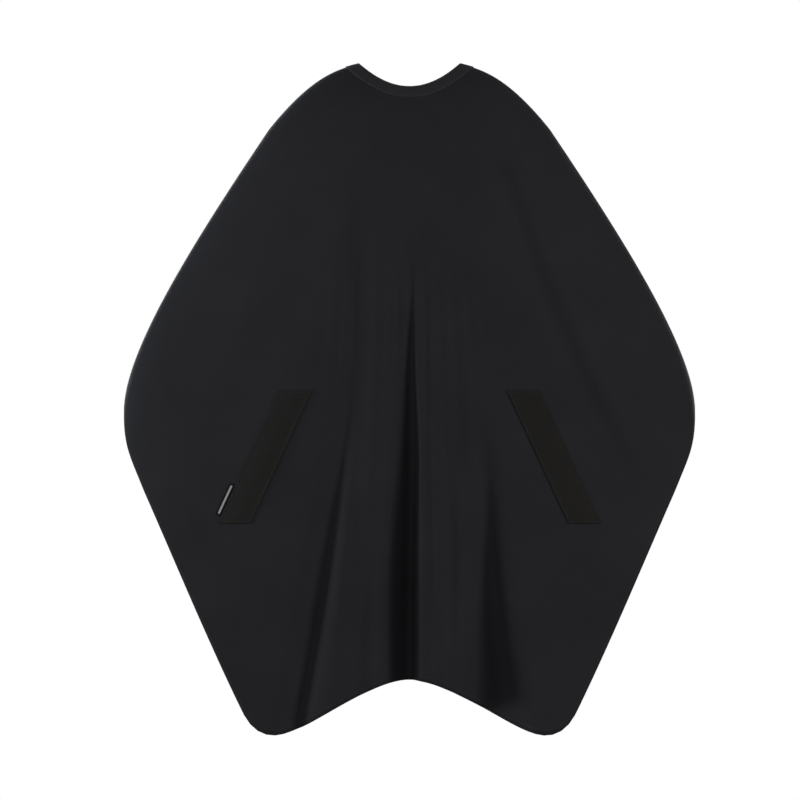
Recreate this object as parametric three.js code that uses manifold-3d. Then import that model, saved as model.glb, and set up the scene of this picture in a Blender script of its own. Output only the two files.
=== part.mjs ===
// Barber cape, worn: the neckband is fastened at the nape and the cloth is spread by held-out arms.
// One cut panel of cloth with two hand slits under flaps, a three-layer neckband, a closure tab with
// press snaps, slit facings and a woven label.
//
// Millimetres, +Z up. The front faces -Y and +X is on the right of someone who faces the front.
// "left" and "right" in the names are that person's. The origin is the centre of the neck opening.

import * as THREE from 'three';
import { mergeVertices } from 'three/addons/utils/BufferGeometryUtils.js';
import Module from 'manifold-3d';

const wasm = await Module();
wasm.setup();

// ---- Neckline: an oval in plan that dips at the throat and the nape ----
const neckHalfWidth = 95;
const neckFrontReach = 70;
const neckBackReach = 65;
const neckSideHeight = 22;
const throatDip = 44;
const napeDip = 50;

// ---- Outline seen from the front ----
const armBend = { x: 267, z: -103 };          // where the neck slope turns into the arm slope
const spreadHalfWidth = 542;                  // widest point, where the cloth leaves the hands
const spreadHeight = -635;
const sideBend = { x: 503, z: -787 };         // where the rounding below the hand ends
const cornerStart = { x: 315, z: -1205 };     // where the front corner's rounding starts
const cornerFoot = { x: 256, z: -1249 };      // lowest point of the front corner
const frontHemHeight = -1145;                 // hem at the centre front
const backCorner = { x: 212, z: -775 };       // lowest point of the back corner
const backHemHeight = -610;                   // hem at the centre back

// ---- Depth of the worn cloth in front of and behind the arm line ----
const chestSwell = 80;                        // added by the chest just below the neckband
const chestRun = 0.09;                        // share of the length over which the chest swells
const frontFlare = 35;                        // added between neckline and hem
const backSwell = 75;
const backRun = 0.2;
const backFlare = 25;

// ---- Layers ----
const clothThickness = 3;
const bandLayer = 1.8;
const seatGap = 0.3;                          // clearance between pieces that lie on each other
const facetSag = 0.3;                         // the panel's flats lie up to this far inside its curve
const bandHeight = 28;
const bandSeamOverlap = 14;                   // how far the panel runs up between the band layers
const bandEdgeInset = 1;                      // the interfacing stops this far inside the band's edges
const bandHalf = bandLayer + clothThickness / 2 + seatGap;    // middle of the band to its faces

// ---- Nape closure ----
const slitHalfAngle = 0.02;                   // half of the back slit, as an angle round the neck
const snapRoom = 2.8;                         // between the closure tab and the band under it
const lapShift = bandHalf + snapRoom / 2;     // each band end moves this far off the neckline's oval
const lapStart = THREE.MathUtils.degToRad(108);
const lapRun = THREE.MathUtils.degToRad(27);
const lapFade = 0.15;                         // share of the length over which the lap fades out
const tabLength = 58;
const tabHingeGap = 0.5;
const snapInset = 22;                         // first snap's distance from the slit
const snapPitch = 20;
const tabSnapCount = 2;
const studCount = 4;                          // positions for different neck sizes
const snapRadius = 5;
const capRadius = 6.2;
const studHeadRadius = 2.2;
const socketClearance = 0.4;
const socketHeight = 0.9;
const studBaseHeight = 0.5;

// ---- Hand slits, flaps and label ----
const flapTop = { x: 214, z: -598 };          // middle of the flap's upper end, seen from the front
const flapFoot = { x: 331, z: -850 };
const flapWidth = 57;
const flapThickness = 1.6;
const flapBow = 5.5;                          // the flap arches this far over the bound slit
const slitWidth = 18;
const slitEndInset = 20;                      // from the flap's ends to the slit's
const facingMargin = 12;                      // cloth round the slit on the inner face
const facingThickness = 1.2;
const labelWidth = 10;
const labelLength = 66;
const labelFootInset = 1;                     // from the flap's lower end to the label's
const labelThickness = 0.8;
const labelSeamGap = 1.5;

// ---- Fineness of the faceting ----
const panelStepsAround = 76;
const panelStepsDown = 20;
const turnCrowding = 0.5;                     // columns crowd at the centre lines and the arm lines
const rowWidening = 1.5;                      // how fast the panel's rows widen below the band
const fastenerSides = 20;

const halfTurn = Math.PI;
const fullTurn = 2 * Math.PI;

// ---------------------------------------------------------------------------------------------
// Outline curves, in the plane seen from the front (x across, y of the 2D vector is height)
// ---------------------------------------------------------------------------------------------

const at = (x, z) => new THREE.Vector2(x, z);

// A curve whose handles leave the two ends by the given shares of the end-to-end box.
function bow(from, to, startShare, endShare) {
  const reach = to.clone().sub(from);
  const first = at(from.x + reach.x * startShare.x, from.y + reach.y * startShare.z);
  const second = at(to.x - reach.x * endShare.x, to.y - reach.y * endShare.z);
  return new THREE.CubicBezierCurve(from, first, second, to);
}

function pathOf(...curves) {
  const path = new THREE.CurvePath();
  curves.forEach((curve) => path.add(curve));
  return path;
}

const neckSide = at(neckHalfWidth, neckSideHeight);
const hand = at(spreadHalfWidth, spreadHeight);
const bend = at(armBend.x, armBend.z);
const frontFoot = at(cornerFoot.x, cornerFoot.z);
const frontCorner = at(cornerStart.x, cornerStart.z);
const underHand = at(sideBend.x, sideBend.z);
const backFoot = at(backCorner.x, backCorner.z);

// From the neckline's side point down the shoulder and the arm to the hand.
const shoulderLine = pathOf(
  bow(neckSide, bend, { x: 0.26, z: 0.08 }, { x: 0.46, z: 0.79 }),
  bow(bend, hand, { x: 0.5, z: 0.385 }, { x: 0, z: 0.21 }),
);

// From the centre front along the hem, round the corner and up the side edge to the hand.
const frontHem = pathOf(
  bow(at(0, frontHemHeight), frontFoot, { x: 0.33, z: 0 }, { x: 0.23, z: 0 }),
  bow(frontFoot, frontCorner, { x: 0.5, z: 0 }, { x: 0.2, z: 0.55 }),
  bow(frontCorner, underHand, { x: 0.36, z: 0.33 }, { x: 0.28, z: 0.28 }),
  bow(underHand, hand, { x: 0.62, z: 0.4 }, { x: 0, z: 0.47 }),
);

// From the centre back along the hem, round the back corner and up to the hand.
const backHem = pathOf(
  bow(at(0, backHemHeight), backFoot, { x: 0.4, z: 0 }, { x: 0.35, z: 0 }),
  bow(backFoot, hand, { x: 0.35, z: 0 }, { x: 0.05, z: 0.6 }),
);

// ---------------------------------------------------------------------------------------------
// The worn surface
// ---------------------------------------------------------------------------------------------

const blend = (low, high, share) => low + (high - low) * share;

function smoothStep(value) {
  const share = THREE.MathUtils.clamp(value, 0, 1);
  return share * share * (3 - 2 * share);
}

function depthAt(isFront, down) {
  if (isFront) {
    return neckFrontReach + chestSwell * (1 - Math.exp(-down / chestRun)) + frontFlare * down;
  }
  return neckBackReach + backSwell * (1 - Math.exp(-down / backRun)) + backFlare * down;
}

// A point of the cloth's middle layer before the band ends are lapped. turn is the angle round the
// neck, 0 at the throat, a quarter turn on the arm line and a half turn at the nape; down runs from 0
// on the neckline to 1 on the hem. Seen from the front it blends the neckline into the hem and the
// centre line into the arm line, and in plan each level is half an ellipse in front of the arm line
// and half of another behind it.
function unlappedPoint(turn, down) {
  const side = Math.sin(turn) < 0 ? -1 : 1;
  const across = Math.abs(Math.sin(turn));
  const forward = Math.cos(turn);
  const isFront = forward > 0;
  const dip = isFront ? throatDip : napeDip;
  const neck = at(neckHalfWidth * across, neckSideHeight - dip * forward * forward);
  const hem = (isFront ? frontHem : backHem).getPoint(across);
  const arm = shoulderLine.getPoint(down);
  const armBowX = arm.x - blend(neckSide.x, hand.x, down);
  const armBowZ = arm.y - blend(neckSide.y, hand.y, down);
  const x = blend(neck.x, hem.x, down) + across * armBowX;
  const z = blend(neck.y, hem.y, down) + across * armBowZ;
  return new THREE.Vector3(side * x, -forward * depthAt(isFront, down), z);
}

// Outward direction of a surface pointAt(turn, down), from small steps to both sides.
function outwardOf(pointAt, turn, down) {
  const step = 1e-4;
  const inside = THREE.MathUtils.clamp(down, step, 1 - step);
  const around = pointAt(turn + step, inside).sub(pointAt(turn - step, inside));
  const downward = pointAt(turn, inside + step).sub(pointAt(turn, inside - step));
  return new THREE.Vector3().crossVectors(downward, around).normalize();
}

// The cloth's middle layer. Near the nape the two ends part, one outwards and one inwards, to lap.
function capePoint(turn, down, lapSide = Math.sign(Math.sin(turn))) {
  const point = unlappedPoint(turn, down);
  const wrapped = Math.acos(THREE.MathUtils.clamp(Math.cos(turn), -1, 1));
  const lapShare = smoothStep((wrapped - lapStart) / lapRun) * Math.exp(-((down / lapFade) ** 2));
  if (lapShare > 0) {
    point.addScaledVector(outwardOf(unlappedPoint, turn, down), lapShift * lapSide * lapShare);
  }
  return point;
}

// The same point with the outward direction of the cloth there.
function capeFrame(turn, down, lapSide) {
  const normal = outwardOf((a, b) => capePoint(a, b, lapSide), turn, down);
  return { point: capePoint(turn, down, lapSide), normal };
}

function downPerMillimetre(turn) {
  const step = 1e-3;
  return step / unlappedPoint(turn, step).distanceTo(unlappedPoint(turn, 0));
}

// The cloth at a distance in millimetres below the neckline.
function bandFrame(turn, distance, lapSide) {
  return capeFrame(turn, distance * downPerMillimetre(turn), lapSide);
}

// The front panel where someone facing it sees the point (x, z): Newton steps on turn and down.
function frontFrame(x, z) {
  const steps = 12;
  const nudge = 1e-4;
  let turn = Math.asin(THREE.MathUtils.clamp(x / spreadHalfWidth, -0.9, 0.9));
  let down = 0.5;
  for (let i = 0; i < steps; i += 1) {
    const here = capePoint(turn, down);
    const byTurn = capePoint(turn + nudge, down).sub(here).divideScalar(nudge);
    const byDown = capePoint(turn, down + nudge).sub(here).divideScalar(nudge);
    const missX = x - here.x;
    const missZ = z - here.z;
    const area = byTurn.x * byDown.z - byTurn.z * byDown.x;
    turn += (missX * byDown.z - missZ * byDown.x) / area;
    down = THREE.MathUtils.clamp(down + (byTurn.x * missZ - byTurn.z * missX) / area, 0, 1 - nudge);
  }
  return capeFrame(turn, down);
}

// ---------------------------------------------------------------------------------------------
// Closed solids from sheets
// ---------------------------------------------------------------------------------------------

function signedVolume(positions, faces) {
  const corner = [new THREE.Vector3(), new THREE.Vector3(), new THREE.Vector3()];
  let volume = 0;
  for (let i = 0; i < faces.length; i += 3) {
    corner.forEach((point, k) => point.fromArray(positions, 3 * faces[i + k]));
    volume += corner[0].dot(corner[1].clone().cross(corner[2])) / 6;
  }
  return volume;
}

// A sheet of cloth with thickness. frameAt(a, b), a and b from 0 to 1, gives a point and a normal;
// inner(a, b) and outer(a, b) are the distances of the two faces along that normal.
function sheetSolid(frameAt, stepsA, stepsB, inner, outer) {
  const positions = [];
  const faces = [];
  const layerSize = (stepsA + 1) * (stepsB + 1);
  for (const reach of [outer, inner]) {
    for (let i = 0; i <= stepsA; i += 1) {
      for (let j = 0; j <= stepsB; j += 1) {
        const { point, normal } = frameAt(i / stepsA, j / stepsB);
        const moved = point.clone().addScaledVector(normal, reach(i / stepsA, j / stepsB));
        positions.push(moved.x, moved.y, moved.z);
      }
    }
  }
  const index = (layer, i, j) => layer * layerSize + i * (stepsB + 1) + j;
  const quad = (p, q, r, s) => faces.push(p, q, r, p, r, s);
  for (let i = 0; i < stepsA; i += 1) {
    for (let j = 0; j < stepsB; j += 1) {
      quad(index(0, i, j), index(0, i, j + 1), index(0, i + 1, j + 1), index(0, i + 1, j));
      quad(index(1, i, j), index(1, i + 1, j), index(1, i + 1, j + 1), index(1, i, j + 1));
    }
    quad(index(0, i, 0), index(0, i + 1, 0), index(1, i + 1, 0), index(1, i, 0));
    quad(index(0, i + 1, stepsB), index(0, i, stepsB), index(1, i, stepsB), index(1, i + 1, stepsB));
  }
  for (let j = 0; j < stepsB; j += 1) {
    quad(index(0, 0, j + 1), index(0, 0, j), index(1, 0, j), index(1, 0, j + 1));
    quad(index(0, stepsA, j), index(0, stepsA, j + 1), index(1, stepsA, j + 1), index(1, stepsA, j));
  }
  if (signedVolume(positions, faces) < 0) {
    faces.reverse();
  }
  const geometry = new THREE.BufferGeometry();
  geometry.setAttribute('position', new THREE.Float32BufferAttribute(positions, 3));
  geometry.setIndex(faces);
  return geometry;
}

function evenSheet(frameAt, stepsA, stepsB, inner, outer) {
  return sheetSolid(frameAt, stepsA, stepsB, () => inner, () => outer);
}

function toSolid(geometry) {
  const bare = geometry.clone();
  bare.deleteAttribute('normal');
  bare.deleteAttribute('uv');
  const merged = mergeVertices(bare, 1e-4);
  const vertProperties = new Float32Array(merged.attributes.position.array);
  const triVerts = new Uint32Array(merged.index.array);
  return new wasm.Manifold(new wasm.Mesh({ numProp: 3, vertProperties, triVerts }));
}

function cutAway(geometry, cutters) {
  const cut = cutters.reduce((solid, cutter) => solid.subtract(toSolid(cutter)), toSolid(geometry));
  const mesh = cut.getMesh();
  const result = new THREE.BufferGeometry();
  result.setAttribute('position', new THREE.BufferAttribute(new Float32Array(mesh.vertProperties), 3));
  result.setIndex(new THREE.BufferAttribute(new Uint32Array(mesh.triVerts), 1));
  return result;
}

// ---------------------------------------------------------------------------------------------
// Materials
// ---------------------------------------------------------------------------------------------

const wovenPolyester = (color) => new THREE.MeshStandardMaterial({ color, roughness: 0.85, metalness: 0 });
const panelCloth = wovenPolyester('#252528');
const flapCloth = wovenPolyester('#1f1f20');
const bandCloth = wovenPolyester('#29292c');
const liningCloth = wovenPolyester('#1c1c1e');
const labelWeave = wovenPolyester('#0e0e10');
const snapResin = new THREE.MeshStandardMaterial({ color: '#18181a', roughness: 0.45, metalness: 0 });

const cape = new THREE.Group();

function addPiece(name, geometry, material) {
  geometry.computeVertexNormals();
  const mesh = new THREE.Mesh(geometry, material);
  mesh.name = name;
  cape.add(mesh);
  return mesh;
}

// ---------------------------------------------------------------------------------------------
// Hand slits: places on the front panel
// ---------------------------------------------------------------------------------------------

const flapLength = Math.hypot(flapFoot.x - flapTop.x, flapFoot.z - flapTop.z);
const flapDown = at(flapFoot.x - flapTop.x, flapFoot.z - flapTop.z).normalize();
const flapOut = at(-flapDown.y, flapDown.x);  // from the flap's middle towards its sewn outer edge

// The cloth at millimetres along the flap from its top and millimetres outwards of its middle line.
function flapFrame(side, along, outwards) {
  const x = flapTop.x + flapDown.x * along + flapOut.x * outwards;
  const z = flapTop.z + flapDown.y * along + flapOut.y * outwards;
  return frontFrame(side * x, z);
}

// How far the flap's level-cut ends run along it for each millimetre outwards.
const flapEndSlant = -flapOut.y / flapDown.y;

// A sheet over a rectangle of the flap's own coordinates.
function flapArea(side, alongFrom, alongTo, outFrom, outTo) {
  return (a, b) => flapFrame(side, blend(alongFrom, alongTo, a), blend(outFrom, outTo, b));
}

function slitCutter(side, margin) {
  const reach = 12;
  const half = slitWidth / 2 + margin;
  const area = flapArea(side, slitEndInset - margin, flapLength - slitEndInset + margin, -half, half);
  return evenSheet(area, 12, 2, -reach, reach);
}

// ---------------------------------------------------------------------------------------------
// Sub-parts
// ---------------------------------------------------------------------------------------------

const frontSides = [
  { side: -1, word: 'left' },
  { side: 1, word: 'right' },
];
const lastTurn = halfTurn - slitHalfAngle;

// Columns from one edge of the back slit round the front to the other.
function turnAt(share) {
  const spread = 2 * share - 1;
  const crowded = turnCrowding * Math.sin(2 * fullTurn * spread) / (2 * fullTurn);
  return lastTurn * (spread - crowded);
}

// Rows of the panel: its sewn edge inside the band, the band's foot, then rows that widen downwards.
function panelDown(turn, share) {
  const edge = downPerMillimetre(turn) * (bandHeight - bandSeamOverlap);
  const foot = downPerMillimetre(turn) * bandHeight;
  const row = share * panelStepsDown;
  if (row < 1) {
    return blend(edge, foot, row);
  }
  return blend(foot, 1, ((row - 1) / (panelStepsDown - 1)) ** rowWidening);
}

// One cut of cloth: front, shoulders and both halves of the back, slit from the nape to the hem.
function addPanel() {
  const frameAt = (a, b) => {
    const turn = turnAt(a);
    return capeFrame(turn, panelDown(turn, b));
  };
  const half = clothThickness / 2;
  const whole = evenSheet(frameAt, panelStepsAround, panelStepsDown, -half, half);
  addPiece('cape_panel', cutAway(whole, frontSides.map(({ side }) => slitCutter(side, 0))), panelCloth);
}

function bandArea(from, to) {
  return (a, b) => bandFrame(turnAt(a), blend(from, to, b));
}

// The band is an outer and a lining layer with the panel's edge and an interfacing between them.
function addNeckband() {
  const coreHalf = clothThickness / 2;
  const steps = panelStepsAround;
  const whole = bandArea(0, bandHeight);
  const coreFoot = bandHeight - bandSeamOverlap - seatGap;
  const core = bandArea(bandEdgeInset, coreFoot);
  addPiece('neckband_outer', evenSheet(whole, steps, 2, coreHalf + seatGap, bandHalf), bandCloth);
  addPiece('neckband_lining', evenSheet(whole, steps, 2, -bandHalf, -coreHalf - seatGap), liningCloth);
  addPiece('neckband_interfacing', evenSheet(core, steps, 1, -coreHalf, coreHalf), liningCloth);
}

const turnPerMillimetre = 1 / neckHalfWidth;  // near the nape, where the neckline runs along X
const tabStart = lastTurn + tabHingeGap * turnPerMillimetre;
const tabEnd = halfTurn + tabLength * turnPerMillimetre;

function tabArea(inset) {
  const from = tabStart + inset * turnPerMillimetre;
  const to = tabEnd - inset * turnPerMillimetre;
  return (a, b) => bandFrame(blend(from, to, a), blend(inset, bandHeight - inset, b), 1);
}

// The band's right end runs on past the slit as a tab that laps over the left end.
function addClosureTab() {
  const coreHalf = clothThickness / 2;
  const steps = 10;
  const whole = tabArea(0);
  const core = tabArea(bandEdgeInset);
  addPiece('closure_tab_outer', evenSheet(whole, steps, 2, coreHalf + seatGap, bandHalf), bandCloth);
  addPiece('closure_tab_lining', evenSheet(whole, steps, 2, -bandHalf, -coreHalf - seatGap), liningCloth);
  addPiece('closure_tab_interfacing', evenSheet(core, steps, 2, -coreHalf, coreHalf), liningCloth);
}

function turnedPiece(name, profile, frame, reach, direction) {
  const points = profile.map(([radius, height]) => new THREE.Vector2(radius, height));
  const piece = addPiece(name, mergeVertices(bareLathe(points), 1e-4), snapResin);
  const axis = frame.normal.clone().multiplyScalar(direction);
  piece.quaternion.setFromUnitVectors(new THREE.Vector3(0, 1, 0), axis);
  piece.position.copy(frame.point).addScaledVector(frame.normal, reach);
}

function bareLathe(points) {
  const lathe = new THREE.LatheGeometry(points, fastenerSides);
  lathe.deleteAttribute('normal');
  lathe.deleteAttribute('uv');
  return lathe;
}

const snapTurn = (i) => halfTurn + (snapInset + i * snapPitch) * turnPerMillimetre;
const tabSnapFrame = (i) => bandFrame(snapTurn(i), bandHeight / 2, 1);
const bandSnapFrame = (i) => bandFrame(snapTurn(i), bandHeight / 2, -1);

// The stud fills the room between the tab and the band under it, less a seat gap at both ends.
function lapRoom() {
  const under = bandSnapFrame(0);
  return tabSnapFrame(0).point.sub(under.point).dot(under.normal) - 2 * bandHalf;
}

const studHeight = lapRoom() - 2 * seatGap;
const capProfile = [[0, 0], [capRadius, 0], [capRadius, 0.7], [0.7 * capRadius, 1.7], [0, 2]];
const postProfile = [[0, 0], [snapRadius - 0.4, 0], [snapRadius - 0.4, 0.5], [2, 0.9], [0, 0.9]];
const socketProfile = [
  [studHeadRadius + socketClearance, 0], [snapRadius, 0], [snapRadius, socketHeight],
  [studHeadRadius + socketClearance, socketHeight], [studHeadRadius + socketClearance, 0],
];
const studProfile = [
  [0, 0], [snapRadius, 0], [snapRadius, studBaseHeight], [studHeadRadius - 0.3, studBaseHeight],
  [studHeadRadius, studHeight - 0.5], [studHeadRadius - 0.5, studHeight], [0, studHeight],
];

// Press snaps: cap and socket on the tab, stud and post on the band under it and on towards the side.
function addSnaps() {
  for (let i = 0; i < tabSnapCount; i += 1) {
    const frame = tabSnapFrame(i);
    turnedPiece(`snap_cap_${i + 1}`, capProfile, frame, bandHalf + seatGap, 1);
    turnedPiece(`snap_socket_${i + 1}`, socketProfile, frame, -bandHalf - seatGap, -1);
  }
  for (let i = 0; i < studCount; i += 1) {
    const frame = bandSnapFrame(i);
    turnedPiece(`snap_stud_${i + 1}`, studProfile, frame, bandHalf + seatGap, 1);
    turnedPiece(`snap_post_${i + 1}`, postProfile, frame, -bandHalf - seatGap, -1);
  }
}

// The flap is sewn along its outer long edge and bows over the slit to its free inner edge.
function addFlap({ side, word }) {
  const area = (a, b) => {
    const outwards = blend(flapWidth / 2, -flapWidth / 2, b);
    return flapFrame(side, blend(0, flapLength, a) + flapEndSlant * outwards, outwards);
  };
  const seat = clothThickness / 2 + seatGap;
  const under = (a, b) => seat + flapBow * Math.sin(halfTurn * b) ** 2;
  const over = (a, b) => under(a, b) + flapThickness;
  addPiece(`${word}_flap`, sheetSolid(area, 12, 8, under, over), flapCloth);
}

// A ring of cloth that binds the slit on the inner face of the panel.
function addFacing({ side, word }) {
  const outer = -clothThickness / 2 - seatGap - facetSag;
  const half = slitWidth / 2 + facingMargin;
  const ends = slitEndInset - facingMargin;
  const area = flapArea(side, ends, flapLength - ends, -half, half);
  const patch = evenSheet(area, 12, 4, outer - facingThickness, outer);
  addPiece(`${word}_slit_facing`, cutAway(patch, [slitCutter(side, 0)]), liningCloth);
}

// A plain woven label, caught in the left flap's outer seam near its foot.
function addLabel() {
  const foot = flapLength - labelFootInset;
  const seam = flapWidth / 2 + labelSeamGap;
  const area = flapArea(-1, foot - labelLength, foot, seam, seam + labelWidth);
  const seat = clothThickness / 2 + seatGap;
  addPiece('woven_label', evenSheet(area, 4, 2, seat, seat + labelThickness), labelWeave);
}

addPanel();
addNeckband();
addClosureTab();
addSnaps();
frontSides.forEach(addFlap);
frontSides.forEach(addFacing);
addLabel();

export default cape;
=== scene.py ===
"""Barber cape, worn and fastened at the nape: cloth, neckband, snaps, flaps, label and stitching."""

import math

import bpy
import numpy as np
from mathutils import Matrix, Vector


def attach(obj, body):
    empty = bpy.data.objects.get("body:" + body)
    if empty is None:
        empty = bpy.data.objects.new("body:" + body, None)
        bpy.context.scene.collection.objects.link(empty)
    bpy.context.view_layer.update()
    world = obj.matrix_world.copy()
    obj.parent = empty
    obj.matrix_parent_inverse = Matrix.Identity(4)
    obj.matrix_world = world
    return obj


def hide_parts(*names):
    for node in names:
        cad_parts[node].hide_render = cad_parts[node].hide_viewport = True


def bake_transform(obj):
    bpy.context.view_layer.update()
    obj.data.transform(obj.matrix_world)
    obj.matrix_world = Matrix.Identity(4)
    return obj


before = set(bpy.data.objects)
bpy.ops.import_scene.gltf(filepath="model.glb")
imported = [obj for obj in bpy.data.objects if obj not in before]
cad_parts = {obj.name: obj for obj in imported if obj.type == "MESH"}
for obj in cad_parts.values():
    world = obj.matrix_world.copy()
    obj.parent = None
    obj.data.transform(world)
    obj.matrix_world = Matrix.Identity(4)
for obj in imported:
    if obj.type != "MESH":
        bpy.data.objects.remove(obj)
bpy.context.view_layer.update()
scene = bpy.context.scene

MM = 0.001

# ---- Camera: level, square to the front, through a long lens ----
CAMERA_DISTANCE = 24.0
CAMERA_HEIGHT = -0.6164
CAMERA_ASIDE = -0.018
FIELD_WIDTH = 1.52            # width of the view at the arm line
SENSOR_WIDTH = 36.0

# ---- Neckline: an oval in plan that dips at the throat and the nape ----
NECK_HALF_WIDTH = 95 * MM
NECK_FRONT_REACH = 70 * MM
NECK_BACK_REACH = 65 * MM
NECK_SIDE_HEIGHT = 22 * MM
THROAT_DIP = 44 * MM
NAPE_DIP = 50 * MM

# ---- Outline seen from the front, (across, height) ----
NECK_SIDE = (95 * MM, 22 * MM)
ARM_BEND = (267 * MM, -103 * MM)
HAND = (542 * MM, -635 * MM)
SIDE_BEND = (503 * MM, -787 * MM)
CORNER_START = (315 * MM, -1205 * MM)
CORNER_FOOT = (256 * MM, -1249 * MM)
FRONT_HEM_CENTRE = (0, -1145 * MM)
BACK_CORNER = (212 * MM, -775 * MM)
BACK_HEM_CENTRE = (0, -610 * MM)

# ---- Depth in front of and behind the arm line ----
CHEST_SWELL, CHEST_RUN, FRONT_FLARE = 80 * MM, 0.09, 35 * MM
BACK_SWELL, BACK_RUN, BACK_FLARE = 75 * MM, 0.2, 25 * MM

# ---- Neckband and nape closure ----
BAND_HEIGHT = 28 * MM
BAND_HALF = 1.9 * MM          # middle of the doubled band to its faces
BAND_SEAM = 14 * MM           # the panel's sewn edge inside the band, below the neckline
SLIT_HALF_ANGLE = 0.02
LAP_SHIFT = 2.9 * MM
LAP_START, LAP_RUN, LAP_FADE = math.radians(108), math.radians(27), 0.15
TAB_LENGTH = 58 * MM
SNAP_INSET, SNAP_PITCH = 22 * MM, 20 * MM
TAB_SNAPS, STUDS = 2, 4

# ---- Hand slits, flaps and label, along the flap from its top and outwards of its middle ----
FLAP_TOP = (214 * MM, -598 * MM)
FLAP_FOOT = (331 * MM, -850 * MM)
FLAP_WIDTH = 57 * MM
SLIT_WIDTH = 18 * MM
SLIT_END_INSET = 20 * MM
LABEL_WIDTH, LABEL_LENGTH = 10 * MM, 66 * MM
LABEL_GAP, LABEL_FOOT_INSET = 1 * MM, 1 * MM
STRIPE_HALF_WIDTH, STRIPE_HALF_LENGTH = 1.8 * MM, 29 * MM

# ---- Cloth ----
CLOTH_THICKNESS = 0.6 * MM    # drawn about twice as thick as it is, so that edges catch the light
HEM_WIDTH = 12 * MM
HEM_ROLL = 0.9 * MM           # half the thickness of the turned hem

COLUMNS, ROWS = 330, 146

# ---- Scales of the patterns ----
# A noise has this many cells in a metre, and a wave's period is pi / 10 over its scale. Real yarns lie
# about 0.25 mm apart and a thread's plies turn every 1.5 mm or so, too fine to show: all are drawn coarser.
TONE_PATCHES = 7.0            # the tone drifts over 140 mm, a hand's width
YARN_STREAKS = 420.0          # uneven yarns, 2.4 mm apart
COCKLES = 38.0                # puckers 26 mm across
PLY_TWIST = 90.0              # a turn of the plies every 3.5 mm
LABEL_RIBS = 120.0            # ribs 2.6 mm apart
RESIN_PEEL = 900.0            # dimples 1.1 mm across
RESIN_SMUDGES = 160.0         # handling marks 6 mm across

# ---- Light ----
SURROUND_LIGHT = 0.16         # of the white that shows


# ---------------------------------------------------------------------------------------------
# Camera, studio
# ---------------------------------------------------------------------------------------------

def make_camera():
    """A level camera before the object, with its view's width set at the arm line."""
    data = bpy.data.cameras.new("camera")
    data.sensor_width = SENSOR_WIDTH
    data.lens = SENSOR_WIDTH * CAMERA_DISTANCE / FIELD_WIDTH
    data.clip_end = 200
    camera = bpy.data.objects.new("camera", data)
    scene.collection.objects.link(camera)
    camera.location = (CAMERA_ASIDE, -CAMERA_DISTANCE, CAMERA_HEIGHT)
    camera.rotation_euler = (math.radians(90), 0, 0)
    scene.camera = camera


make_camera()


# ---------------------------------------------------------------------------------------------
# Materials
# ---------------------------------------------------------------------------------------------

def linear(hex_colour):
    """sRGB hex to linear RGBA."""
    parts = [int(hex_colour[i:i + 2], 16) / 255 for i in (1, 3, 5)]
    return [c / 12.92 if c <= 0.04045 else ((c + 0.055) / 1.055) ** 2.4 for c in parts] + [1.0]


def add_node(tree, kind, links=None, values=None, **settings):
    """One shader node with its settings, its input values and its incoming links."""
    node = tree.nodes.new(kind)
    for key, value in settings.items():
        setattr(node, key, value)
    for key, value in (values or {}).items():
        node.inputs[key].default_value = value
    for key, socket in (links or {}).items():
        tree.links.new(socket, node.inputs[key])
    return node


def new_material(name):
    """An empty material and its node tree."""
    material = bpy.data.materials.new(name)
    material.use_nodes = True
    material.node_tree.nodes.clear()
    return material, material.node_tree


def finish_material(tree, shader):
    """Joins the shader to the material's output."""
    add_node(tree, "ShaderNodeOutputMaterial", links={"Surface": shader.outputs[0]})


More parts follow.
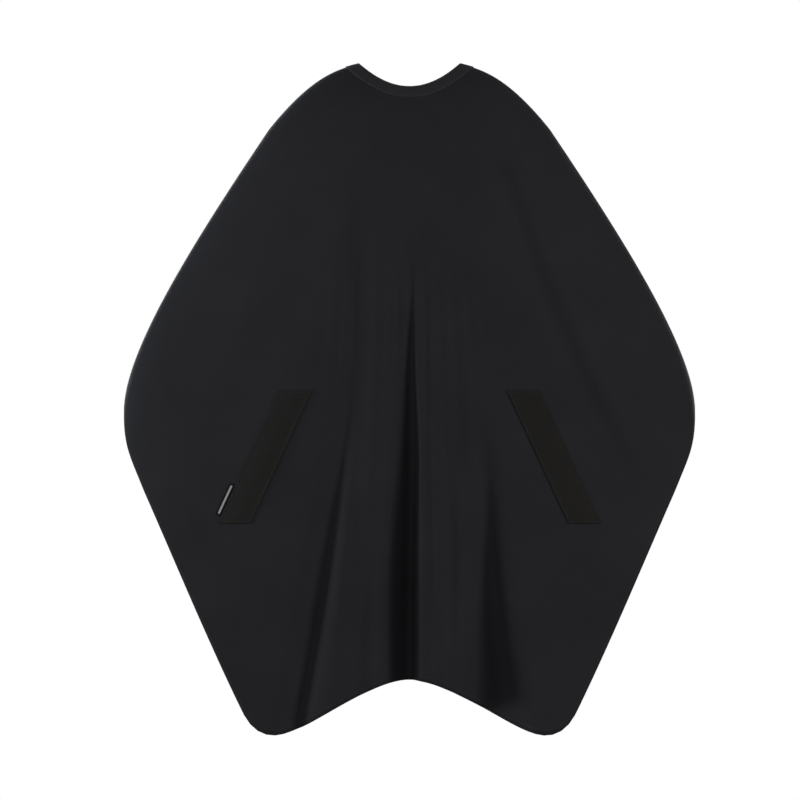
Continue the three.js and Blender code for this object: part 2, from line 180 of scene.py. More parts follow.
def woven_cloth(name, shade, light_shade, pitch, roughness, sheen, sheen_tint, weave_depth):
    """Plain-woven filament polyester: matt, with a faint cool bloom where it turns away from the eye.
    The tone drifts over a hand's width, the yarns vary a little and the weave stands up as fine ribs."""
    material, tree = new_material(name)
    uv = add_node(tree, "ShaderNodeUVMap", uv_map="cloth")
    drift = add_node(tree, "ShaderNodeTexNoise", links={"Vector": uv.outputs[0]},
                     values={"Scale": TONE_PATCHES, "Detail": 3.0, "Roughness": 0.55})
    stretched = add_node(tree, "ShaderNodeMapping", links={"Vector": uv.outputs[0]},
                         values={"Scale": (1.0, 0.12, 1.0)})
    yarns = add_node(tree, "ShaderNodeTexNoise", links={"Vector": stretched.outputs[0]},
                     values={"Scale": YARN_STREAKS, "Detail": 2.0, "Roughness": 0.6})
    mixed = add_node(tree, "ShaderNodeMath", links={0: yarns.outputs["Fac"], 2: drift.outputs["Fac"]},
                     values={1: 0.5}, operation="MULTIPLY_ADD")
    tone = add_node(tree, "ShaderNodeMapRange", links={"Value": mixed.outputs[0]},
                    values={"From Min": 0.45, "From Max": 1.05})
    colour = add_node(tree, "ShaderNodeMix", links={"Factor": tone.outputs[0]},
                      values={6: linear(shade), 7: linear(light_shade)}, data_type="RGBA")
    # One period of the wave holds one thread.
    threads = {"Scale": math.pi / (10 * pitch), "Distortion": 0.4, "Detail": 1.0, "Detail Scale": 2.0}
    warp = add_node(tree, "ShaderNodeTexWave", links={"Vector": uv.outputs[0]}, values=threads,
                    wave_type="BANDS", bands_direction="X")
    weft = add_node(tree, "ShaderNodeTexWave", links={"Vector": uv.outputs[0]}, values=threads,
                    wave_type="BANDS", bands_direction="Y")
    weave = add_node(tree, "ShaderNodeMath", links={0: warp.outputs["Fac"], 1: weft.outputs["Fac"]},
                     operation="MULTIPLY")
    cockle = add_node(tree, "ShaderNodeTexNoise", links={"Vector": uv.outputs[0]},
                      values={"Scale": COCKLES, "Detail": 2.0, "Roughness": 0.5})
    fine = add_node(tree, "ShaderNodeBump", links={"Height": weave.outputs[0]},
                    values={"Strength": weave_depth, "Distance": 0.0004})
    bump = add_node(tree, "ShaderNodeBump",
                    links={"Height": cockle.outputs["Fac"], "Normal": fine.outputs[0]},
                    values={"Strength": 0.15, "Distance": 0.004})
    shader = add_node(tree, "ShaderNodeBsdfPrincipled",
                      links={"Base Color": colour.outputs[2], "Normal": bump.outputs[0]},
                      values={"Roughness": roughness, "IOR": 1.45, "Specular IOR Level": 0.15,
                              "Sheen Weight": sheen, "Sheen Roughness": 0.45,
                              "Sheen Tint": linear(sheen_tint)})
    finish_material(tree, shader)
    return material


def moulded_resin(name, shade):
    """Acetal press snap: moulded, satin, with a faint orange-peel surface."""
    material, tree = new_material(name)
    place = add_node(tree, "ShaderNodeTexCoord")
    peel = add_node(tree, "ShaderNodeTexNoise", links={"Vector": place.outputs["Object"]},
                    values={"Scale": RESIN_PEEL, "Detail": 2.0})
    smudge = add_node(tree, "ShaderNodeTexNoise", links={"Vector": place.outputs["Object"]},
                      values={"Scale": RESIN_SMUDGES, "Detail": 3.0})
    rough = add_node(tree, "ShaderNodeMapRange", links={"Value": smudge.outputs["Fac"]},
                     values={"To Min": 0.28, "To Max": 0.42})
    bump = add_node(tree, "ShaderNodeBump", links={"Height": peel.outputs["Fac"]},
                    values={"Strength": 0.15, "Distance": 0.0002})
    shader = add_node(tree, "ShaderNodeBsdfPrincipled",
                      links={"Roughness": rough.outputs[0], "Normal": bump.outputs[0]},
                      values={"Base Color": linear(shade), "IOR": 1.48})
    finish_material(tree, shader)
    return material


def sewing_thread(name, shade):
    """Spun polyester thread: two plies twist along each stitch."""
    material, tree = new_material(name)
    place = add_node(tree, "ShaderNodeTexCoord")
    plies = add_node(tree, "ShaderNodeTexWave", links={"Vector": place.outputs["Object"]},
                     values={"Scale": PLY_TWIST, "Distortion": 1.0},
                     wave_type="BANDS", bands_direction="DIAGONAL")
    bump = add_node(tree, "ShaderNodeBump", links={"Height": plies.outputs["Fac"]},
                    values={"Strength": 0.4, "Distance": 0.0003})
    shader = add_node(tree, "ShaderNodeBsdfPrincipled", links={"Normal": bump.outputs[0]},
                      values={"Base Color": linear(shade), "Roughness": 0.6, "IOR": 1.5,
                              "Sheen Weight": 0.15, "Sheen Roughness": 0.4})
    finish_material(tree, shader)
    return material


def label_damask(name, middle_long, middle_wide):
    """Woven damask label: dense black satin ground with one plain pale stripe woven in along it."""
    material, tree = new_material(name)
    uv = add_node(tree, "ShaderNodeUVMap", uv_map="cloth")
    axes = add_node(tree, "ShaderNodeSeparateXYZ", links={"Vector": uv.outputs[0]})
    inside = []
    for axis, middle, half in (("Y", middle_wide, STRIPE_HALF_WIDTH), ("X", middle_long, STRIPE_HALF_LENGTH)):
        offset = add_node(tree, "ShaderNodeMath", links={0: axes.outputs[axis]}, values={1: middle},
                          operation="SUBTRACT")
        distance = add_node(tree, "ShaderNodeMath", links={0: offset.outputs[0]}, operation="ABSOLUTE")
        near = add_node(tree, "ShaderNodeMath", links={0: distance.outputs[0]}, values={1: half},
                        operation="LESS_THAN")
        inside.append(near.outputs[0])
    stripe = add_node(tree, "ShaderNodeMath", links=dict(enumerate(inside)), operation="MULTIPLY")
    colour = add_node(tree, "ShaderNodeMix", links={"Factor": stripe.outputs[0]},
                      values={6: linear("#0b0b0c"), 7: linear("#8d8e90")}, data_type="RGBA")
    ribs = add_node(tree, "ShaderNodeTexWave", links={"Vector": uv.outputs[0]},
                    values={"Scale": LABEL_RIBS, "Distortion": 0.2}, wave_type="BANDS", bands_direction="X")
    bump = add_node(tree, "ShaderNodeBump", links={"Height": ribs.outputs["Fac"]},
                    values={"Strength": 0.3, "Distance": 0.0003})
    shader = add_node(tree, "ShaderNodeBsdfPrincipled",
                      links={"Base Color": colour.outputs[2], "Normal": bump.outputs[0]},
                      values={"Roughness": 0.7, "IOR": 1.5, "Specular IOR Level": 0.08})
    finish_material(tree, shader)
    return material


PANEL = woven_cloth("polyester_panel_cloth", "#1d1c1f", "#222124", 0.6 * MM, 0.8, 0.04, "#aab6c8", 0.35)
FLAP = woven_cloth("polyester_flap_twill", "#1a1918", "#1e1d1c", 0.8 * MM, 0.85, 0.02, "#b8b4ac", 0.5)
BAND = woven_cloth("polyester_band_cloth", "#242326", "#29282b", 0.6 * MM, 0.75, 0.06, "#b4bccb", 0.35)
LINING = woven_cloth("soft_neck_lining", "#161617", "#1b1b1c", 0.5 * MM, 0.9, 0.12, "#8f95a0", 0.5)
THREAD = sewing_thread("polyester_sewing_thread", "#232326")
SNAP = moulded_resin("acetal_snap_resin", "#121214")
LABEL = label_damask("damask_label", math.dist(FLAP_TOP, FLAP_FOOT) - LABEL_FOOT_INSET - LABEL_LENGTH / 2,
                     FLAP_WIDTH / 2 + LABEL_GAP + LABEL_WIDTH / 2)


# ---------------------------------------------------------------------------------------------
# Curves and the worn surface
# ---------------------------------------------------------------------------------------------

def smooth(value):
    """0 below 0, 1 above 1 and 3s^2 - 2s^3 between."""
    share = np.clip(value, 0, 1)
    return share * share * (3 - 2 * share)


def bump_at(offset, low_side, high_side):
    """exp(-(d/w)^2), with one width w below the middle and another above it."""
    return np.exp(-(offset / np.where(offset < 0, low_side, high_side)) ** 2)


def bow(start, end, start_share, end_share):
    """Cubic Bezier from start to end whose handles are the given shares of the end-to-end box."""
    start, end = np.array(start, float), np.array(end, float)
    reach = end - start
    return start, start + reach * start_share, end - reach * end_share, end


def path_of(*curves):
    """Curves joined end to end: points, and each point's share of the whole length."""
    u = np.linspace(0, 1, 401)[:, None]
    runs = [(1 - u) ** 3 * a + 3 * (1 - u) ** 2 * u * b + 3 * (1 - u) * u ** 2 * c + u ** 3 * d
            for a, b, c, d in curves]
    points = np.vstack([runs[0]] + [run[1:] for run in runs[1:]])
    travelled = np.concatenate([[0], np.cumsum(np.linalg.norm(np.diff(points, axis=0), axis=1))])
    return points, travelled / travelled[-1]


def along(path, share):
    """The point of a path at a share of its length."""
    points, shares = path
    return np.interp(share, shares, points[:, 0]), np.interp(share, shares, points[:, 1])


SHOULDER_LINE = path_of(bow(NECK_SIDE, ARM_BEND, (0.26, 0.08), (0.46, 0.79)),
                        bow(ARM_BEND, HAND, (0.5, 0.385), (0, 0.21)))
FRONT_HEM = path_of(bow(FRONT_HEM_CENTRE, CORNER_FOOT, (0.33, 0), (0.23, 0)),
                    bow(CORNER_FOOT, CORNER_START, (0.5, 0), (0.2, 0.55)),
                    bow(CORNER_START, SIDE_BEND, (0.36, 0.33), (0.28, 0.28)),
                    bow(SIDE_BEND, HAND, (0.62, 0.4), (0, 0.47)))
BACK_HEM = path_of(bow(BACK_HEM_CENTRE, BACK_CORNER, (0.4, 0), (0.35, 0)),
                   bow(BACK_CORNER, HAND, (0.35, 0), (0.05, 0.6)))


def worn_form(turn, down):
    """The body under the cloth. turn is the angle round the neck (0 throat, pi/2 arm line, pi nape) and
    down runs from 0 on the neckline to 1 on the hem. Seen from the front the point is a blend of the
    neckline and the hem plus the arm line's bow; in plan each level is half an ellipse each way."""
    turn, down = np.broadcast_arrays(np.asarray(turn, float), np.asarray(down, float))
    side = np.where(np.sin(turn) < 0, -1.0, 1.0)
    across, forward = np.abs(np.sin(turn)), np.cos(turn)
    in_front = forward > 0
    neck_x = NECK_HALF_WIDTH * across
    neck_z = NECK_SIDE_HEIGHT - np.where(in_front, THROAT_DIP, NAPE_DIP) * forward ** 2
    front_x, front_z = along(FRONT_HEM, across)
    back_x, back_z = along(BACK_HEM, across)
    hem_x, hem_z = np.where(in_front, front_x, back_x), np.where(in_front, front_z, back_z)
    arm_x, arm_z = along(SHOULDER_LINE, down)
    bow_x = arm_x - (NECK_SIDE[0] + (HAND[0] - NECK_SIDE[0]) * down)
    bow_z = arm_z - (NECK_SIDE[1] + (HAND[1] - NECK_SIDE[1]) * down)
    x = neck_x + (hem_x - neck_x) * down + across * bow_x
    z = neck_z + (hem_z - neck_z) * down + across * bow_z
    front_depth = NECK_FRONT_REACH + CHEST_SWELL * (1 - np.exp(-down / CHEST_RUN)) + FRONT_FLARE * down
    back_depth = NECK_BACK_REACH + BACK_SWELL * (1 - np.exp(-down / BACK_RUN)) + BACK_FLARE * down
    y = -forward * np.where(in_front, front_depth, back_depth)
    return np.stack([side * x, y, z], axis=-1)


def outward(surface, turn, down, step=1e-4):
    """Unit outward normal of surface(turn, down), from small steps to both sides."""
    inside = np.clip(down, step, 1 - step)
    around = surface(turn + step, inside) - surface(turn - step, inside)
    downward = surface(turn, inside + step) - surface(turn, inside - step)
    normal = np.cross(downward, around)
    return normal / np.linalg.norm(normal, axis=-1, keepdims=True)


# Each fold is a depth in metres at places (x, z) seen from the front: above 0 presses the cloth in.

def centre_pleat(x, z):
    """A deep pleat from the breast to the hem, grown with the way down: 64 mm times a recess whose right
    wall is steep and whose left one is a long slope, less 6 mm times a lip on its right."""
    grown = smooth((-0.30 - z) / 0.76)
    width = 0.026 + 0.032 * grown
    share = (0.014 + 0.009 * smooth((-0.50 - z) / 0.25) - x) / width
    recess = smooth(share / 0.30) * (1 - smooth((share - 0.42) / 1.35))
    lip = bump_at(x - 0.044, 0.018, 0.034)
    return grown * (0.064 * recess - 0.006 * lip)


def left_pleat(x, z):
    """A pleat from the left breast towards the left corner: 23 mm times a bell that is steep on its right,
    less 7 mm times a crest beside it."""
    run = np.clip((-0.40 - z) / 0.82, 0, 1.2)
    middle = -0.085 - 0.094 * run - 0.028 * run ** 2
    grown = smooth((-0.42 - z) / 0.62)
    recess = bump_at(x - middle, 0.024, 0.013)
    crest = bump_at(x - middle - 0.040, 0.022, 0.030)
    return grown * (0.023 * recess - 0.007 * crest)


def right_pleat(x, z):
    """A pleat that falls to the right corner: a hollow 18 mm deep plus 0.62 of the width of its right wall,
    which widens towards the hem, less 7 mm times a crisp crest beside it."""
    run = np.clip((-0.66 - z) / 0.52, 0, 1.2)
    edge = 0.156 + 0.022 * run + 0.040 * run ** 3
    grown = smooth((-0.56 - z) / 0.50)
    wall = np.clip(edge - 0.146, 0.016, 0.080)
    inside = edge + 0.004 - x
    share = np.clip(inside / wall, 0, 1)
    slope = 0.35 * smooth(share) + 0.65 * (1 - (1 - share) ** 2)
    recess = slope * (1 - smooth((inside - 1.1 * wall) / 0.060))
    crest = bump_at(inside + 0.022, 0.034, 0.014)
    return grown * ((0.018 + 0.62 * wall) * recess - 0.007 * crest)


def shallow_valleys(x, z):
    """Two long shallow bells beside the centre pleat."""
    return (0.0055 * smooth((-0.14 - z) / 0.25) * bump_at(x + 0.095, 0.020, 0.020)
            + 0.0045 * smooth((-0.40 - z) / 0.30) * bump_at(x - 0.086, 0.020, 0.020))


def front_ripples(x, z):
    """Narrow upright cosine ripples between the side pleats, wider towards the hem, with uneven heights."""
    grown = smooth((-0.20 - z) / 0.50)
    fan = x / (0.72 + 0.42 * smooth((-0.3 - z) / 0.9))
    height = 0.0019 + 0.0010 * np.sin(31 * fan + 1.3) + 0.0006 * np.sin(2.4 * z / 0.2)
    within = 1 - smooth((np.abs(x + 0.005) - 0.10) / 0.10)
    return grown * within * height * np.cos(2 * np.pi * fan / 0.036 + 0.8 * np.sin(3.0 * z))


def shoulder_drags(x, z):
    """Soft diagonal drags from the shoulders to the elbows: bells that stand out, beside weaker hollows."""
    run = np.clip((-0.08 - z) / 0.62, 0, 1.3)
    reach = smooth(run / 0.2) * (1 - smooth((run - 0.85) / 0.4))
    right_line = 0.178 + 0.17 * run + 0.075 * run ** 2
    left_line = -(0.170 + 0.20 * run + 0.06 * run ** 2)
    right_one = bump_at(x - right_line, 0.022, 0.016) - 0.7 * bump_at(x - right_line + 0.04, 0.02, 0.02)
    second = bump_at(x - right_line - 0.085, 0.016, 0.014) * (1 - smooth((run - 0.3) / 0.3))
    left_one = bump_at(x - left_line, 0.030, 0.045) - 0.5 * bump_at(x - left_line - 0.07, 0.03, 0.03)
    return -reach * (0.0060 * right_one + 0.0040 * second + 0.0030 * left_one)


def slack(x, z):
    """Slow unevenness of hanging cloth: two crossed sine waves under 2 mm high, 0.63 and 0.5 m long."""
    return 0.0016 * np.sin(9.1 * x + 4.0 * z + 0.6) + 0.0012 * np.sin(-6.3 * x + 11.0 * z + 2.0)


def front_folds(x, z):
    """How far the front is pressed in, in metres, at each place that someone facing it sees."""
    return (centre_pleat(x, z) + left_pleat(x, z) + right_pleat(x, z) + shallow_valleys(x, z)
            + front_ripples(x, z) + shoulder_drags(x, z) + slack(x, z))


# Each fold of the back: its angle round the neck and its spread, in degrees, its depth in metres, where
# below 0 is a crest, and how far it leans.
BACK_FOLDS = ((169, 4.2, 0.030, 0.0), (158, 5.0, -0.012, 2.0), (147, 5.0, 0.034, -3.0),
              (135, 6.0, -0.013, 2.0), (123, 5.0, 0.024, 3.0), (110, 5.5, -0.007, -2.0))


def back_folds(turn, down):
    """Folds that fan out from the nape and the shoulder blades, deeper towards the hem: the sum of
    depth * exp(-((angle - middle) / spread)^2)."""
    side = np.sign(np.sin(turn))
    wrapped = np.degrees(np.arccos(np.clip(np.cos(turn), -1, 1)))
    grown = smooth((down - 0.10) / 0.9)
    hollow = np.zeros_like(wrapped)
    for angle, spread, depth, lean in BACK_FOLDS:
        middle = angle + lean * (1 + side) + 3.5 * side * np.sin(2.2 * down + angle)
        hollow = hollow + depth * np.exp(-((wrapped - middle) / spread) ** 2)
    return grown * hollow


def cloth_form(turn, down):
    """The worn form with the cloth's folds pressed into it, and the band ends lapped at the nape."""
    return lapped(turn, down, np.sign(np.sin(turn)), folded_form)


def folded_form(turn, down):
    """The worn form with folds. They die away over the arms, at the band and round the flaps."""
    point = worn_form(turn, down)
    forward = np.cos(turn)
    x, z = point[..., 0], point[..., 2]
    clear = smooth(np.abs(forward) / 0.35) * smooth((down - 0.046) / 0.08)
    flat = np.ones_like(x)
    for side in (-1, 1):
        along_flap, outwards = flap_coordinates(x, z, side)
        beyond = np.hypot(np.clip(np.abs(along_flap - FLAP_LENGTH / 2) - FLAP_LENGTH / 2, 0, None),
                          np.clip(np.abs(outwards) - FLAP_WIDTH / 2, 0, None))
        flat = flat * smooth(beyond / 0.035)
    inwards = np.where(forward > 0, flat * front_folds(x, z), -back_folds(turn, down))
    point[..., 1] += clear * inwards
    return point


def lapped(turn, down, lap_side, surface):
    """Near the nape one band end moves out along its normal and the other in, so that they lap."""
    point = surface(turn, down)
    wrapped = np.arccos(np.clip(np.cos(turn), -1, 1))
    share = smooth((wrapped - LAP_START) / LAP_RUN) * np.exp(-(np.asarray(down, float) / LAP_FADE) ** 2)
    return point + outward(worn_form, turn, down) * (LAP_SHIFT * lap_side * share)[..., None]


def down_per_metre(turn, down):
    """How much down changes over one metre of cloth, at a place."""
    step = 1e-3
    near = np.clip(down, 0, 1 - step)
    return step / np.linalg.norm(worn_form(turn, near + step) - worn_form(turn, near), axis=-1)


def front_place(x, z):
    """turn and down of the front panel where someone facing it sees the points (x, z): Newton steps."""
    turn = np.arcsin(np.clip(x / HAND[0], -0.9, 0.9))
    down = np.full_like(turn, 0.5)
    nudge = 1e-4
    for _ in range(12):
        here = worn_form(turn, down)
        by_turn = (worn_form(turn + nudge, down) - here) / nudge
        by_down = (worn_form(turn, down + nudge) - here) / nudge
        miss_x, miss_z = x - here[..., 0], z - here[..., 2]
        area = by_turn[..., 0] * by_down[..., 2] - by_turn[..., 2] * by_down[..., 0]
        turn = turn + (miss_x * by_down[..., 2] - miss_z * by_down[..., 0]) / area
        down = np.clip(down + (by_turn[..., 0] * miss_z - by_turn[..., 2] * miss_x) / area, 0, 1 - nudge)
    return turn, down


# ---------------------------------------------------------------------------------------------
# Meshes
# ---------------------------------------------------------------------------------------------

def mesh_object(name, points, quads, uv, material):
    """A smooth-shaded mesh of the points that its quads use, with a UV in metres called cloth."""
    used, quads = np.unique(quads, return_inverse=True)
    quads = quads.reshape(-1, 4)
    mesh = bpy.data.meshes.new(name)
    mesh.from_pydata(points.reshape(-1, 3)[used].tolist(), [], quads.tolist())
    layer = mesh.uv_layers.new(name="cloth")
    layer.data.foreach_set("uv", uv.reshape(-1, 2)[used][quads].astype(np.float32).ravel())
    mesh.polygons.foreach_set("use_smooth", np.ones(len(mesh.polygons), bool))
    mesh.materials.append(material)
    mesh.update()
    piece = bpy.data.objects.new(name, mesh)
    scene.collection.objects.link(piece)
    return piece


def grid_quads(rows, columns, close_rows=False, close_columns=False):
    """Quads of a grid whose points are stored row by row, wound so that row x column order faces out."""
    i = np.arange(rows if close_rows else rows - 1)
    j = np.arange(columns if close_columns else columns - 1)
    i, j = np.meshgrid(i, j, indexing="ij")
    i2, j2 = (i + 1) % rows, (j + 1) % columns
    corners = [i * columns + j, i * columns + j2, i2 * columns + j2, i2 * columns + j]
    return np.stack(corners, -1).reshape(-1, 4)


def thicken(piece, thickness):
    """Gives a sheet its thickness, half to each side of its middle layer."""
    modifier = piece.modifiers.new("thickness", "SOLIDIFY")
    modifier.thickness = thickness
    modifier.offset = 0
    modifier.use_even_offset = False
    return piece


def edge_spaced(start, end, count):
    """Numbers from start to end that crowd towards both."""
    return start + (end - start) * (1 - np.cos(np.linspace(0, math.pi, count))) / 2


def rounded(value, low, high, radius):
    """Share of the full thickness at value: 1 inside, falling as a quarter circle within radius of an end."""
    near = np.clip(np.minimum(value - low, high - value) / radius, 0, 1)
    return np.sqrt(1 - (1 - near) ** 2)


def made_up(name, place, long_ends, wide_ends, half, counts, materials, wide_at=None, flipped=False):
    """A double layer of cloth with closed, rounded edges. place(long, wide, reach) gives its points from
    the distances along and across it and out of its middle layer; wide_at(long) may narrow it."""
    long_from, long_to = long_ends
    wide_from, wide_to = wide_ends
    long = edge_spaced(long_from, long_to, counts[0])
    wide = edge_spaced(wide_from, wide_to, counts[1])
    around = np.concatenate([wide, wide[-2:0:-1]])
    face = np.concatenate([np.ones(len(wide)), -np.ones(len(wide) - 2)])
    reach = half * face[None, :] * rounded(around, wide_from, wide_to, half)[None, :]
    reach = reach * rounded(long, long_from, long_to, half)[:, None]
    long_grid, wide_grid = np.meshgrid(long, around, indexing="ij")
    if wide_at is not None:
        middle = (wide_from + wide_to) / 2
        wide_grid = middle + (wide_grid - middle) * wide_at(long_grid)
    points = place(long_grid, wide_grid, reach)
    # At both ends the two layers meet, so that the inner one takes its last points from the outer one.
    joined = np.arange(points[..., 0].size).reshape(len(long), len(around))
    joined[[0, -1], len(wide):] = joined[[0, -1], len(wide) - 2:0:-1]
    quads = joined.ravel()[grid_quads(len(long), len(around), close_columns=True)]
    inner = (quads[:, 0] % len(around)) >= len(wide) - 1
    piece = mesh_object(name, points, quads[:, ::-1] if flipped else quads,
                        np.stack([long_grid, wide_grid], -1), materials[0])
    piece.data.materials.append(materials[1])
    piece.data.polygons.foreach_set("material_index", inner.astype(np.int32))
    return piece


def stitches(name, runs, pitch=3.2 * MM, filled=0.72, radius=0.24 * MM):
    """Thread along each run of (points, normals): one short tube per stitch, with its open ends sunk in
    the cloth. Each ring is the run's point plus a lift along the normal plus a circle round the run."""
    rings, sides = 4, 5
    share = np.array([0.0, 0.18, 0.82, 1.0])
    lift = np.array([-0.30, 0.12, 0.12, -0.30]) * MM
    girth = np.array([0.7, 1.0, 1.0, 0.7]) * radius
    angle = np.linspace(0, 2 * math.pi, sides, endpoint=False)
    every_point, every_quad, used = [], [], 0
    for points, normals in runs:
        travelled = np.concatenate([[0], np.cumsum(np.linalg.norm(np.diff(points, axis=0), axis=1))])
        starts = np.arange(pitch / 2, travelled[-1] - pitch, pitch)
        where = starts[:, None] + share[None, :] * pitch * filled
        middle = np.stack([np.interp(where, travelled, points[:, k]) for k in range(3)], -1)
        normal = np.stack([np.interp(where, travelled, normals[:, k]) for k in range(3)], -1)
        normal = normal / np.linalg.norm(normal, axis=-1, keepdims=True)
        along_run = middle[:, -1:] - middle[:, :1]
        along_run = along_run / np.linalg.norm(along_run, axis=-1, keepdims=True)
        sideways = np.cross(normal, along_run)
        middle = middle + normal * lift[None, :, None]
        tube = (middle[:, :, None] + girth[None, :, None, None] * (
            np.cos(angle)[None, None, :, None] * normal[:, :, None]
            + np.sin(angle)[None, None, :, None] * sideways[:, :, None]))
        one = grid_quads(rings, sides, close_columns=True)
        offsets = used + np.arange(len(starts)) * rings * sides
        every_point.append(tube.reshape(-1, 3))
        every_quad.append((one[None] + offsets[:, None, None]).reshape(-1, 4))
        used += len(starts) * rings * sides
    points, quads = np.vstack(every_point), np.vstack(every_quad)
    return mesh_object(name, points, quads, points[:, :2], THREAD)


def stitch_line(place, reach):
    """The line place(reach) and its normals, which run to the same line one millimetre further out."""
    line = place(reach)
    return line, (place(reach + math.copysign(MM, reach)) - line) / MM


# ---------------------------------------------------------------------------------------------
# Panel
# ---------------------------------------------------------------------------------------------

FLAP_LENGTH = math.dist(FLAP_TOP, FLAP_FOOT)
LAST_TURN = math.pi - SLIT_HALF_ANGLE


def column_turns(count):
    """Turns of the panel's columns. They crowd on the pleats at the front and over the arms."""
    turn = np.linspace(-LAST_TURN, LAST_TURN, 6001)
    crowd = (0.36 + 1.35 * np.exp(-(turn / 0.22) ** 2) + 1.4 * np.exp(-((turn - 0.012) / 0.028) ** 2)
             + 0.5 * np.exp(-((np.abs(turn) - math.pi / 2) / 0.3) ** 2))
    reached = np.concatenate([[0], np.cumsum((crowd[1:] + crowd[:-1]) / 2)])
    return np.interp(np.linspace(0, reached[-1], count), reached, turn)


def flap_run():
    """The flap's top and its direction from there to its foot."""
    top, foot = np.array(FLAP_TOP), np.array(FLAP_FOOT)
    return top, (foot - top) / FLAP_LENGTH


def flap_coordinates(x, z, side):
    """Along the flap and outwards of its middle line, for front-view places."""
    top, run = flap_run()
    dx, dz = side * x - top[0], z - top[1]
    return dx * run[0] + dz * run[1], -dx * run[1] + dz * run[0]


def flap_turn_down(along_flap, outwards, side):
    """turn and down of the front given along the flap and outwards of its middle line."""
    top, run = flap_run()
    x = side * (top[0] + run[0] * along_flap - run[1] * outwards)
    z = top[1] + run[1] * along_flap + run[0] * outwards
    return front_place(x, z)


def flap_place(along_flap, outwards, reach, side):
    """Points of the front given along the flap, outwards of its middle line and out of the cloth."""
    turn, down = flap_turn_down(along_flap, outwards, side)
    return cloth_form(turn, down) + outward(cloth_form, turn, down) * np.asarray(reach)[..., None]


def hem_down(turn, back):
    """down at a distance back from the hem."""
    return 1 - back * down_per_metre(turn, np.ones_like(turn))


def slit_turn_per_metre(down):
    """How much turn changes over one metre across the back, next to the slit."""
    return SLIT_HALF_ANGLE / np.maximum(np.abs(worn_form(np.full_like(down, LAST_TURN), down)[..., 0]), MM)


def onto_slit_edge(along_flap, outwards):
    """The nearest places on the slit's straight edges, with one place moved to each of its corners."""
    half_long, half_wide = FLAP_LENGTH / 2 - SLIT_END_INSET, SLIT_WIDTH / 2
    long, wide = along_flap - FLAP_LENGTH / 2, outwards
    room_long, room_wide = half_long - np.abs(long), half_wide - np.abs(wide)
    inside = (room_long > 0) & (room_wide > 0)
    at_long = np.where(inside & (room_long <= room_wide), np.copysign(half_long, long),
                       np.clip(long, -half_long, half_long))
    at_wide = np.where(inside & (room_wide < room_long), np.copysign(half_wide, wide),
                       np.clip(wide, -half_wide, half_wide))
    for corner in ((1, 1), (1, -1), (-1, 1), (-1, -1)):
        nearest = np.argmin(np.hypot(at_long - corner[0] * half_long, at_wide - corner[1] * half_wide))
        at_long[nearest], at_wide[nearest] = corner[0] * half_long, corner[1] * half_wide
    return at_long + FLAP_LENGTH / 2, at_wide


def make_panel():
    """The whole cut of cloth on a grid of columns round the neck and rows down to the hem. Past the hem
    the rows roll over the edge and run back up inside the cloth, as a turned hem does, and so do the
    columns past both edges of the back slit."""
    back = np.array([0.0, 0.08, 0.5, 0.95, 1.0]) * HEM_WIDTH
    roll = np.array([1.0, 2.0, 2.0, 2.0, 1.2]) * HEM_ROLL
    turns = column_turns(COLUMNS)
    edge = BAND_SEAM * down_per_metre(turns, np.zeros_like(turns))
    rows = np.linspace(0, 1, ROWS) ** 1.15
    down = edge[:, None] + (1 - edge[:, None]) * rows[None, :]
    down = np.hstack([down, hem_down(turns[:, None], back[None, :])])
    turn = np.repeat(turns[:, None], down.shape[1], axis=1)
    inset = np.concatenate([np.zeros(ROWS), roll])[None, :] + np.zeros_like(turn)
    margin = back[:, None] * slit_turn_per_metre(down[0])[None, :]
    under = np.repeat(roll[:, None], down.shape[1], axis=1)
    first = np.repeat(down[:1], len(back), axis=0)
    last = np.repeat(down[-1:], len(back), axis=0)
    turn = np.vstack([(-LAST_TURN + margin)[::-1], turn, LAST_TURN - margin])
    down = np.vstack([first, down, last])
    inset = np.vstack([under[::-1], inset, under])
    quads = grid_quads(*turn.shape)
    keep = np.ones(len(quads), bool)
    seen = worn_form(turn, down).reshape(-1, 3)
    centres = seen[quads].mean(axis=1)
    for side in (-1, 1):
        along_flap, outwards = flap_coordinates(centres[:, 0], centres[:, 2], side)
        in_slit = (np.abs(outwards) < SLIT_WIDTH / 2) & (centres[:, 1] < 0)
        in_slit &= (along_flap > SLIT_END_INSET) & (along_flap < FLAP_LENGTH - SLIT_END_INSET)
        keep &= ~in_slit
        edge_points = np.intersect1d(quads[in_slit], quads[~in_slit])
        on_edge = onto_slit_edge(*flap_coordinates(seen[edge_points, 0], seen[edge_points, 2], side))
        turn.flat[edge_points], down.flat[edge_points] = flap_turn_down(*on_edge, side)
    points = cloth_form(turn, down) - outward(cloth_form, turn, down) * inset[..., None]
    flat = worn_form(turn, down)
    # Part of the depth counts as height, so that the weave isn't drawn out over the shoulders.
    uv = np.stack([flat[..., 0], flat[..., 2] + 0.4 * flat[..., 1]], -1)
    piece = thicken(mesh_object("cape_cloth", points, quads[keep], uv, PANEL), CLOTH_THICKNESS)
    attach(piece, "cape")
    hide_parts("cape_panel")
    return piece


def edge_run(turn, down, face):
    """A stitch line on one face (1 outside, -1 inside) of a turned edge, with its normals."""
    normal = outward(cloth_form, turn, down)
    lift = CLOTH_THICKNESS / 2 if face > 0 else -2 * HEM_ROLL - CLOTH_THICKNESS / 2
    return cloth_form(turn, down) + normal * lift, normal * face


